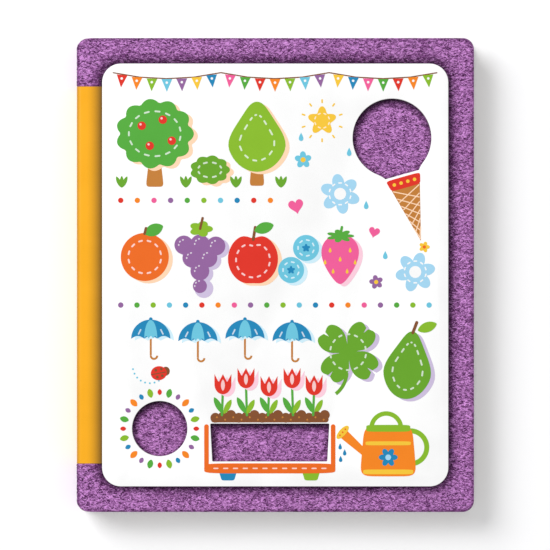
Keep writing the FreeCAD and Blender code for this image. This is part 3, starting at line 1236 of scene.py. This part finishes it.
def print_star(inks):
    """A yellow star with short rays."""
    art = Print(inks, "print_star")
    middle = Vector((322.0, 121.0))
    art.shape(star_form, "yellow", 2, middle, (14.5, 14.5), corners=60)
    art.stitches(disc, "yellow_pale", 3, middle, (7.5, 7.5), 8, width=1.3)
    for ray in range(10):
        turn = math.radians(36.0 * ray + 18.0)
        away = Vector((math.cos(turn), -math.sin(turn)))
        art.bar("yellow", 1, middle + away * 17.5, middle + away * 21.5, 1.6)
    return art.finish()


def print_cone(inks):
    """A wafer cone under the bulb-shaped window, so that the felt in it reads as a scoop."""
    art = Print(inks, "print_cone")
    lean = math.radians(-15.7)
    mouth = Vector((402.3, 175.6))
    across = Vector((math.cos(lean), math.sin(lean)))
    down = Vector((-across.y, across.x))

    def spot(side, depth):
        return mouth + across * side + down * depth

    art.shape(tapered(0.16), "red", 2, spot(0.0, 7.0), (17.8, 5.6), 15.7)
    for side in (-10.5, -3.5, 3.5, 10.5):
        art.dot("yellow", 3, spot(side, 7.0), 1.8, 12)
    width, depth = 14.6, 56.0
    art.shape(disc, "tan", 1, spot(0.0, 12.0 + depth / 3), (width / 0.866, depth * 2 / 3), 180.0 + 15.7, 3)
    for rung in range(6):
        for way in (-1.0, 1.0):
            high, low = 0.02 + rung * 0.145, 0.02 + rung * 0.145 + 0.22
            low = min(low, 0.97)
            start = spot(-way * width * (1.0 - high) * 0.96, 12.0 + depth * high)
            end = spot(way * width * (1.0 - low) * 0.96, 12.0 + depth * low)
            art.bar("peach", 2, start, end, 1.1)
    return art.finish()


def print_dots(inks):
    """Two dotted rules across the cover."""
    art = Print(inks, "print_dots")
    cycle = ("red", "purple", "sky", "tangerine", "leaf", "blue", "pink", "lime")
    for row, (top, start, count, gap) in enumerate(((200.5, 121.0, 10, 16.6), (305.0, 121.0, 20, 16.2))):
        for index in range(count):
            art.dot(cycle[(index * 3 + row) % len(cycle)], 1, (start + index * gap, top), 2.7, 16)
    return art.finish()


def print_fruit(inks):
    """Orange, grapes, apple, berries and strawberry."""
    art = Print(inks, "print_fruit")
    art.shadowed(disc, "orange", "peach", (145.0, 257.0), (24.0, 24.0))
    art.stitches(disc, "orange_pale", 3, (145.0, 257.0), (16.5, 16.5), 12)
    art.shape(leaf_form, "leaf", 3, (154.0, 230.0), (10.0, 6.0), 24.0)
    art.bar("soil", 3, (144.5, 235.0), (146.5, 227.0), 2.6)
    grapes = ((184, 245), (200, 244), (216, 246), (192, 258), (208, 258), (200, 271), (200, 286))
    for px, py in grapes:
        art.dot("lilac", 1, (px + 4.0, py + 2.5), 9.4, 28)
        art.dot("purple", 2, (px, py), 9.4 if py < 280 else 7.0, 28)
    for px, py in grapes:
        art.stitches(disc, "purple_pale", 3, (px, py), (5.2, 5.2), 3, start=80, end=200, width=1.5)
    art.shape(lobed(5, 0.3), "lime", 3, (201.0, 229.0), (12.0, 8.0), corners=60)
    art.bar("soil", 4, (200.0, 230.0), (203.0, 217.0), 2.4)
    art.shadowed(apple_form, "red", "peach", (253.0, 259.0), (25.0, 26.0))
    art.stitches(apple_form, "red_pale", 3, (253.0, 260.0), (17.0, 17.5), 13)
    art.bar("soil", 3, (253.0, 241.0), (255.5, 226.0), 2.8)
    art.shape(leaf_form, "leaf", 3, (264.0, 228.0), (10.0, 5.5), 18.0)
    for px, py, size in ((291.0, 270.0, 13.0), (306.0, 248.0, 13.0)):
        art.dot("haze", 1, (px + 3.5, py + 2.5), size, 36)
        art.dot("sky", 2, (px, py), size, 36)
        art.stitches(disc, "sky_pale", 3, (px, py), (8.2, 8.2), 7, width=1.5)
        art.shape(star_form, "blue", 3, (px, py), (4.2, 4.2), corners=40)
    art.shadowed(strawberry_form, "pink", "blush", (340.0, 259.0), (22.0, 25.0))
    for seed in ((330, 250), (350, 250), (340, 259), (325, 262), (355, 262), (333, 271), (347, 271)):
        art.shape(drop_form, "yellow", 3, seed, (1.6, 2.6), corners=14)
    art.shape(lobed(7, 0.45), "leaf", 3, (340.0, 236.0), (14.0, 6.5), corners=80)
    art.bar("leaf", 3, (340.0, 236.0), (342.0, 226.0), 2.6)
    return art.finish()


def flower(art, ink, heart, at, radius, petals=5, turn=0.0):
    """A flat flower with round petals."""
    art.shape(lobed(petals, 0.42), ink, 2, at, (radius, radius), turn, 16 * petals)
    art.dot(heart, 3, at, radius * 0.3)


def print_flowers(inks):
    """Small flowers, hearts and drops between the larger motifs."""
    art = Print(inks, "print_flowers")
    flower(art, "cloud", "white", (415.0, 272.0), 20.0, 6, 12.0)
    art.stitches(disc, "white", 3, (415.0, 272.0), (11.0, 11.0), 10, width=1.4)
    flower(art, "cloud", "white", (340.0, 194.0), 20.0, 6, 40.0)
    art.stitches(disc, "white", 3, (340.0, 194.0), (11.0, 11.0), 10, width=1.4)
    flower(art, "sky", "yellow", (303.0, 160.0), 8.5, 5, 20.0)
    art.shape(heart_form, "pink", 2, (296.0, 206.0), (7.5, 7.5), 12.0)
    art.shape(heart_form, "pink", 2, (374.0, 232.0), (5.5, 5.5), -14.0)
    flower(art, "yellow", "orange", (424.0, 247.0), 5.5, 5)
    flower(art, "purple", "yellow", (376.0, 282.0), 7.0, 5, 30.0)
    for px, py in ((366.0, 205.0), (301.0, 137.0), (385.0, 255.0), (349.0, 152.0)):
        art.shape(drop_form, "sky", 2, (px, py), (2.6, 4.2), corners=20)
    return art.finish()


def print_parasols(inks):
    """A row of blue parasols."""
    art = Print(inks, "print_parasols")
    for index, px in enumerate((151.0, 198.0, 245.0, 292.0)):
        top = 341.0 if index % 2 else 338.5
        art.bar("tan", 1, (px, top - 12.0), (px, top + 17.0), 2.0)
        art.arc("tan", 1, (px + 3.2, top + 17.0), 2.2, 4.2, -180.0, 0.0)
        art.shape(parasol_form, "haze", 1, (px + 3.5, top + 2.0), (19.5, 19.0), corners=96)
        art.shape(parasol_form, "blue", 2, (px, top), (19.5, 19.0), corners=96)
        art.shape(parasol_form, "sky", 3, (px, top), (6.5, 18.5), corners=60)
        art.dot("blue", 2, (px, top - 19.5), 1.8, 12)
        for side in (-12.5, 12.5):
            art.bar("blue_pale", 3, (px + side, top - 4.0), (px + side * 0.78, top - 9.5), 1.5)
    return art.finish()


def print_clover_and_pear(inks):
    """A large clover and a large pear."""
    art = Print(inks, "print_clover_and_pear")
    art.arc("moss", 2, (318.0, 371.0), 27.0, 30.5, -52.0, -4.0)
    art.shadowed(clover_form, "moss", "lilac", (348.0, 352.0), (36.0, 36.0), 6.0, 160)
    art.stitches(disc, "moss_pale", 3, (348.0, 352.0), (18.0, 18.0), 14)
    art.shadowed(pear_form, "moss", "lilac", (408.0, 365.0), (25.0, 34.0), -8.0)
    art.stitches(pear_form, "moss_pale", 3, (408.0, 366.0), (16.0, 24.0), 14, -8.0)
    art.bar("soil", 3, (412.0, 334.0), (417.0, 321.0), 3.0)
    art.shape(leaf_form, "lime", 3, (427.0, 327.0), (10.0, 5.0), 20.0)
    return art.finish()


def print_ladybird(inks):
    """A ladybird seen from above, with a dotted trail."""
    art = Print(inks, "print_ladybird")
    art.shape(disc, "soil", 1, (166.0, 371.0), (4.0, 4.5))
    art.shape(disc, "red", 2, (159.0, 373.0), (8.0, 7.0), 10.0)
    art.bar("soil", 3, (151.5, 374.5), (166.0, 371.8), 1.0)
    for px, py in ((156.0, 370.0), (161.5, 368.8), (157.5, 376.8), (162.5, 375.5)):
        art.dot("soil", 3, (px, py), 1.4, 10)
    for index in range(8):
        turn = math.radians(190.0 + 16.0 * index)
        art.dot("sky", 1, (150.0 + 17.0 * math.cos(turn), 366.0 - 17.0 * math.sin(turn)), 1.0, 8)
    return art.finish()


def print_petal_ring(inks):
    """Small petals round the round window."""
    art = Print(inks, "print_petal_ring")
    cycle = ("red", "lime", "blue", "tangerine", "purple", "leaf")
    middle, reach = WINDOWS[0][0], 36.5
    for index in range(24):
        turn = 15.0 * index
        across, up = math.cos(math.radians(turn)), math.sin(math.radians(turn))
        place = (middle[0] + reach * across, middle[1] - reach * up)
        size = (4.6, 2.9) if index % 2 else (3.0, 2.2)
        art.shape(leaf_form, cycle[index % len(cycle)], 1, place, size, turn, 18)
    return art.finish()


def print_planter(inks):
    """A planter whose front is the trough window, with tulips in brown soil."""
    art = Print(inks, "print_planter")
    for index in range(15):
        art.dot("soil", 1, (215.5 + index * 7.8, 417.5 - 1.4 * (index % 3)), 5.0, 20)
    art.bar("soil", 2, (211.0, 419.2), (328.5, 419.2), 6.0)
    for index in range(14):
        art.dot("tan", 3, (217.0 + index * 8.2, 417.0 + 2.4 * (index % 2)), 1.0, 8)
    art.shape(plank, "orange", 2, (269.8, 468.0), (65.5, 5.0), 0.0, 48)
    for index in range(12):
        px = 216.0 + index * 9.8
        art.bar("orange_pale", 3, (px - 2.6, 468.0), (px + 2.6, 468.0), 1.4)
    for px in (206.6, 333.0):
        art.bar("orange", 2, (px, 424.0), (px, 468.0), 4.6)
    for px, ink in ((228.0, "blue"), (311.0, "lime")):
        art.shape(tapered(0.3), ink, 1, (px, 475.5), (9.0, 4.6))
    tulips = ((223.0, 384.0), (246.0, 378.0), (269.0, 386.0), (292.0, 378.0), (314.0, 385.0))
    for index, (px, py) in enumerate(tulips):
        art.bar("leaf", 1, (px, py + 6.0), (px + (index % 2) * 2 - 1, 416.0), 2.4)
        art.shape(leaf_form, "leaf", 1, (px - 4.6, 405.0), (9.0, 3.0), 118.0, 24)
        art.shape(leaf_form, "lime", 1, (px + 4.6, 406.5), (8.0, 2.8), 62.0, 24)
        art.shadowed(tulip_form, "red", "blush", (px, py), (8.6, 10.0), corners=64)
        art.shape(leaf_form, "red_pale", 3, (px, py + 1.0), (5.6, 2.0), 90.0, 20)
    return art.finish()


def print_watering_can(inks):
    """A watering can that leans towards the planter."""
    art = Print(inks, "print_watering_can")
    art.arc("lime", 1, (410.0, 447.0), 14.0, 19.0, -80.0, 120.0)
    art.arc("lime", 1, (386.0, 428.0), 12.5, 17.0, 8.0, 172.0)
    art.shape(tapered(0.45), "tangerine", 1, (355.5, 444.5), (5.2, 20.0), 48.0)
    art.shape(tapered(-0.18), "tangerine", 2, (388.0, 451.0), (24.0, 25.0), 0.0, 48)
    art.shape(plank, "lime", 3, (388.0, 428.0), (22.0, 3.4), 0.0, 24)
    art.shape(plank, "yellow", 3, (388.0, 443.0), (22.7, 2.0), 0.0, 24)
    art.shape(plank, "yellow", 3, (388.0, 471.5), (25.0, 2.4), 0.0, 24)
    flower(art, "blue", "cloud", (388.0, 457.0), 9.5, 6)
    art.shape(disc, "yellow", 3, (342.5, 432.0), (3.4, 8.4), -42.0)
    for px, py in ((345.2, 429.0), (342.5, 432.0), (339.8, 435.0)):
        art.dot("orange", 4, (px, py), 0.9, 8)
    for px, py in ((340.0, 446.0), (344.5, 452.0), (340.5, 458.5)):
        art.shape(drop_form, "blue", 1, (px, py), (2.0, 3.2), corners=16)
    return art.finish()


# Operators


def placed_once(name):
    """Stops a second run of an operator, which would put a piece on its own copy."""
    if name in bpy.data.objects:
        raise RuntimeError(f"{name} is already in the scene")


class BOOK_OT_finishes(bpy.types.Operator):
    """Makes the node groups and the materials that the pieces share"""

    bl_idname = "board_book.finishes"
    bl_label = "Shared Finishes"

    def execute(self, context):
        felt, card = context.scene.book_felt, context.scene.book_card
        make_felt_strands(felt)
        make_edge_gap()
        make_paper_grain()
        make_board_layers()
        fibre_material(felt)
        # Only the front felt and strip get painted shade beside the panel
        for side, beside_panel in (("front", True), ("back", False)):
            felt_material(felt, "felt_sheet_" + side, beside_panel)
            strip_material(felt, card, "card_strip_" + side, beside_panel)
        coated_material("panel_face", card.panel_colour, 0.42)
        board_material("panel_edge", card.panel_edge_colour)
        board_material("cover_board_layers", card.board_colour)
        board_material("leaf_board_layers", card.leaf_colour)
        return {"FINISHED"}


class BOOK_OT_felt(bpy.types.Operator):
    """Lays the two halves of the felt sheet round the covers and the spine"""

    bl_idname = "board_book.felt"
    bl_label = "Felt Sheet"

    def execute(self, context):
        placed_once("felt_front_half")
        felt = context.scene.book_felt
        make_felt_half(felt, "front", 1, ("front_felt", "spine_felt"))
        make_felt_half(felt, "back", -1, ("back_felt",))
        return {"FINISHED"}


class BOOK_OT_strip(bpy.types.Operator):
    """Lays the two halves of the card strip in their bed in the felt"""

    bl_idname = "board_book.strip"
    bl_label = "Card Strip"

    def execute(self, context):
        placed_once("strip_front_half")
        felt, card = context.scene.book_felt, context.scene.book_card
        make_strip_half(felt, card, "front", 1, ("front_strip", "spine_strip"))
        make_strip_half(felt, card, "back", -1, ("back_strip",))
        return {"FINISHED"}


class BOOK_OT_panel(bpy.types.Operator):
    """Makes the white window panel with softly rounded upper edges"""

    bl_idname = "board_book.panel"
    bl_label = "Window Panel"

    def execute(self, context):
        placed_once("panel_with_windows")
        card = context.scene.book_card
        mesh = bmesh.new()
        mesh.from_mesh(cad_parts["window_panel"].data)
        bmesh.ops.remove_doubles(mesh, verts=mesh.verts[:], dist=0.000005)
        bmesh.ops.dissolve_limit(
            mesh, angle_limit=math.radians(1.0), verts=mesh.verts[:], edges=mesh.edges[:]
        )
        mesh.normal_update()
        rim = [
            edge
            for edge in mesh.edges
            if all(vert.co.z > PANEL_TOP - 0.00001 for vert in edge.verts)
            and any(abs(face.normal.z) < 0.5 for face in edge.link_faces)
        ]
        bmesh.ops.bevel(
            mesh,
            geom=rim,
            offset=card.panel_rounding,
            affect="EDGES",
            segments=3,
            profile=0.5,
            material=-1,
        )
        mesh.normal_update()
        for face in mesh.faces:
            face.material_index = 0 if abs(face.normal.z) > 0.3 else 1
        materials = [bpy.data.materials["panel_face"], bpy.data.materials["panel_edge"]]
        piece = finished("panel_with_windows", mesh, materials, "front_cover")
        smooth_but_sharp(piece, 40.0)
        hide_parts("window_panel")
        return {"FINISHED"}


class BOOK_OT_boards(bpy.types.Operator):
    """Gives the cover boards and the leaves their materials"""

    bl_idname = "board_book.boards"
    bl_label = "Boards and Leaves"

    def execute(self, context):
        wanted = {
            "front_board": "cover_board_layers",
            "back_board": "cover_board_layers",
            "page_block": "leaf_board_layers",
        }
        for node, material in wanted.items():
            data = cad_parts[node].data
            data.materials.clear()
            data.materials.append(bpy.data.materials[material])
        return {"FINISHED"}


class BOOK_OT_fibres(bpy.types.Operator):
    """Scatters curly loose fibres over the felt where it shows"""

    bl_idname = "board_book.fibres"
    bl_label = "Loose Fibres"

    def execute(self, context):
        placed_once("fibres_front")
        felt = context.scene.book_felt
        if "panel_with_windows" not in bpy.data.objects:
            raise RuntimeError("make the window panel first, because fibres grow only where it is open")
        panel = bpy.data.objects["panel_with_windows"]
        cut = bmesh.new()
        cut.from_mesh(panel.data)
        hidden_by = BVHTree.FromBMesh(cut)
        cut.free()
        for cover, side in (("front", 1), ("back", -1)):
            fibres = make_fibres(felt, cover, side, hidden_by)
        return {"FINISHED"}


class BOOK_OT_large_prints(bpy.types.Operator):
    """Prints the large motifs: trees, fruit, clover and pear"""

    bl_idname = "board_book.large_prints"
    bl_label = "Large Motifs"

    def execute(self, context):
        placed_once("print_trees")
        inks = context.scene.book_inks
        print_trees(inks)
        print_fruit(inks)
        print_clover_and_pear(inks)
        return {"FINISHED"}


class BOOK_OT_window_prints(bpy.types.Operator):
    """Prints what belongs to the three windows: cone, petals, planter and watering can"""

    bl_idname = "board_book.window_prints"
    bl_label = "Motifs Round the Windows"

    def execute(self, context):
        placed_once("print_cone")
        inks = context.scene.book_inks
        print_cone(inks)
        print_petal_ring(inks)
        print_planter(inks)
        print_watering_can(inks)
        return {"FINISHED"}


class BOOK_OT_small_prints(bpy.types.Operator):
    """Prints the small motifs: bunting, dots, star, flowers, parasols and ladybird"""

    bl_idname = "board_book.small_prints"
    bl_label = "Small Motifs"

    def execute(self, context):
        placed_once("print_bunting")
        inks = context.scene.book_inks
        print_bunting(inks)
        print_dots(inks)
        print_star(inks)
        print_flowers(inks)
        print_parasols(inks)
        print_ladybird(inks)
        return {"FINISHED"}


class BOOK_OT_stage(bpy.types.Operator):
    """Sets the pale floor, the soft lights and the camera straight above the cover"""

    bl_idname = "board_book.stage"
    bl_label = "Floor, Lights and Camera"

    def execute(self, context):
        placed_once("studio_floor")
        stage = context.scene.book_stage
        self.add_floor(stage)
        self.add_lights(context, stage)
        self.add_camera(context, stage)
        context.scene.view_settings.view_transform = "Standard"
        return {"FINISHED"}

    def add_floor(self, stage):
        mesh = bmesh.new()
        bmesh.ops.create_grid(mesh, x_segments=8, y_segments=8, size=stage.floor_size / 2)
        floor = finished("studio_floor", mesh, [floor_material(stage)])

    def add_lights(self, context, stage):
        light = bpy.data.lights.new("key_light", "AREA")
        light.energy = stage.key_power
        light.size = stage.key_size
        key = bpy.data.objects.new("key_light", light)
        context.scene.collection.objects.link(key)
        flat = math.cos(stage.key_elevation)
        away = Vector(
            (
                math.cos(stage.key_azimuth) * flat,
                math.sin(stage.key_azimuth) * flat,
                math.sin(stage.key_elevation),
            )
        )
        key.location = away * stage.key_distance
        key.rotation_mode = "QUATERNION"
        key.rotation_quaternion = (-away).to_track_quat("-Z", "Y")
        world = bpy.data.worlds.new("room_light")
        world.use_nodes = True
        backdrop = world.node_tree.nodes["Background"].inputs
        backdrop["Color"].default_value = (1.0, 1.0, 1.0, 1.0)
        backdrop["Strength"].default_value = stage.sky_strength
        context.scene.world = world

    def add_camera(self, context, stage):
        lens = bpy.data.cameras.new("camera")
        lens.lens = stage.lens
        lens.sensor_width = stage.sensor
        camera = bpy.data.objects.new("camera", lens)
        context.scene.collection.objects.link(camera)
        span = PHOTO_SIZE * PIXEL
        camera.location = on_cover(PHOTO_SIZE / 2, PHOTO_SIZE / 2)
        camera.location.z = FELT_TOP + span * stage.lens / stage.sensor
        lens.clip_end = 100.0
        context.scene.camera = camera


OPERATORS = (
    BOOK_OT_stage,
    BOOK_OT_finishes,
    BOOK_OT_felt,
    BOOK_OT_strip,
    BOOK_OT_panel,
    BOOK_OT_boards,
    BOOK_OT_fibres,
    BOOK_OT_large_prints,
    BOOK_OT_window_prints,
    BOOK_OT_small_prints,
)


class BOOK_PT_sidebar(bpy.types.Panel):
    """Lists the book's pieces in the order in which they are made"""

    bl_idname = "BOOK_PT_sidebar"
    bl_label = "Board Book"
    bl_space_type = "VIEW_3D"
    bl_region_type = "UI"
    bl_category = "Board Book"

    def draw(self, context):
        for operator in OPERATORS:
            self.layout.operator(operator.bl_idname)


SETTINGS = {
    "book_felt": BookFeltSettings,
    "book_card": BookCardSettings,
    "book_inks": BookInkSettings,
    "book_stage": BookStageSettings,
}


def register():
    for name, settings in SETTINGS.items():
        bpy.utils.register_class(settings)
        setattr(bpy.types.Scene, name, bpy.props.PointerProperty(type=settings))
    for operator in OPERATORS:
        bpy.utils.register_class(operator)
    bpy.utils.register_class(BOOK_PT_sidebar)


def unregister():
    bpy.utils.unregister_class(BOOK_PT_sidebar)
    for operator in reversed(OPERATORS):
        bpy.utils.unregister_class(operator)
    for name, settings in SETTINGS.items():
        delattr(bpy.types.Scene, name)
        bpy.utils.unregister_class(settings)


def main():
    register()
    for operator in OPERATORS:
        group, name = operator.bl_idname.split(".")
        getattr(getattr(bpy.ops, group), name)()


if __name__ == "__main__":
    main()
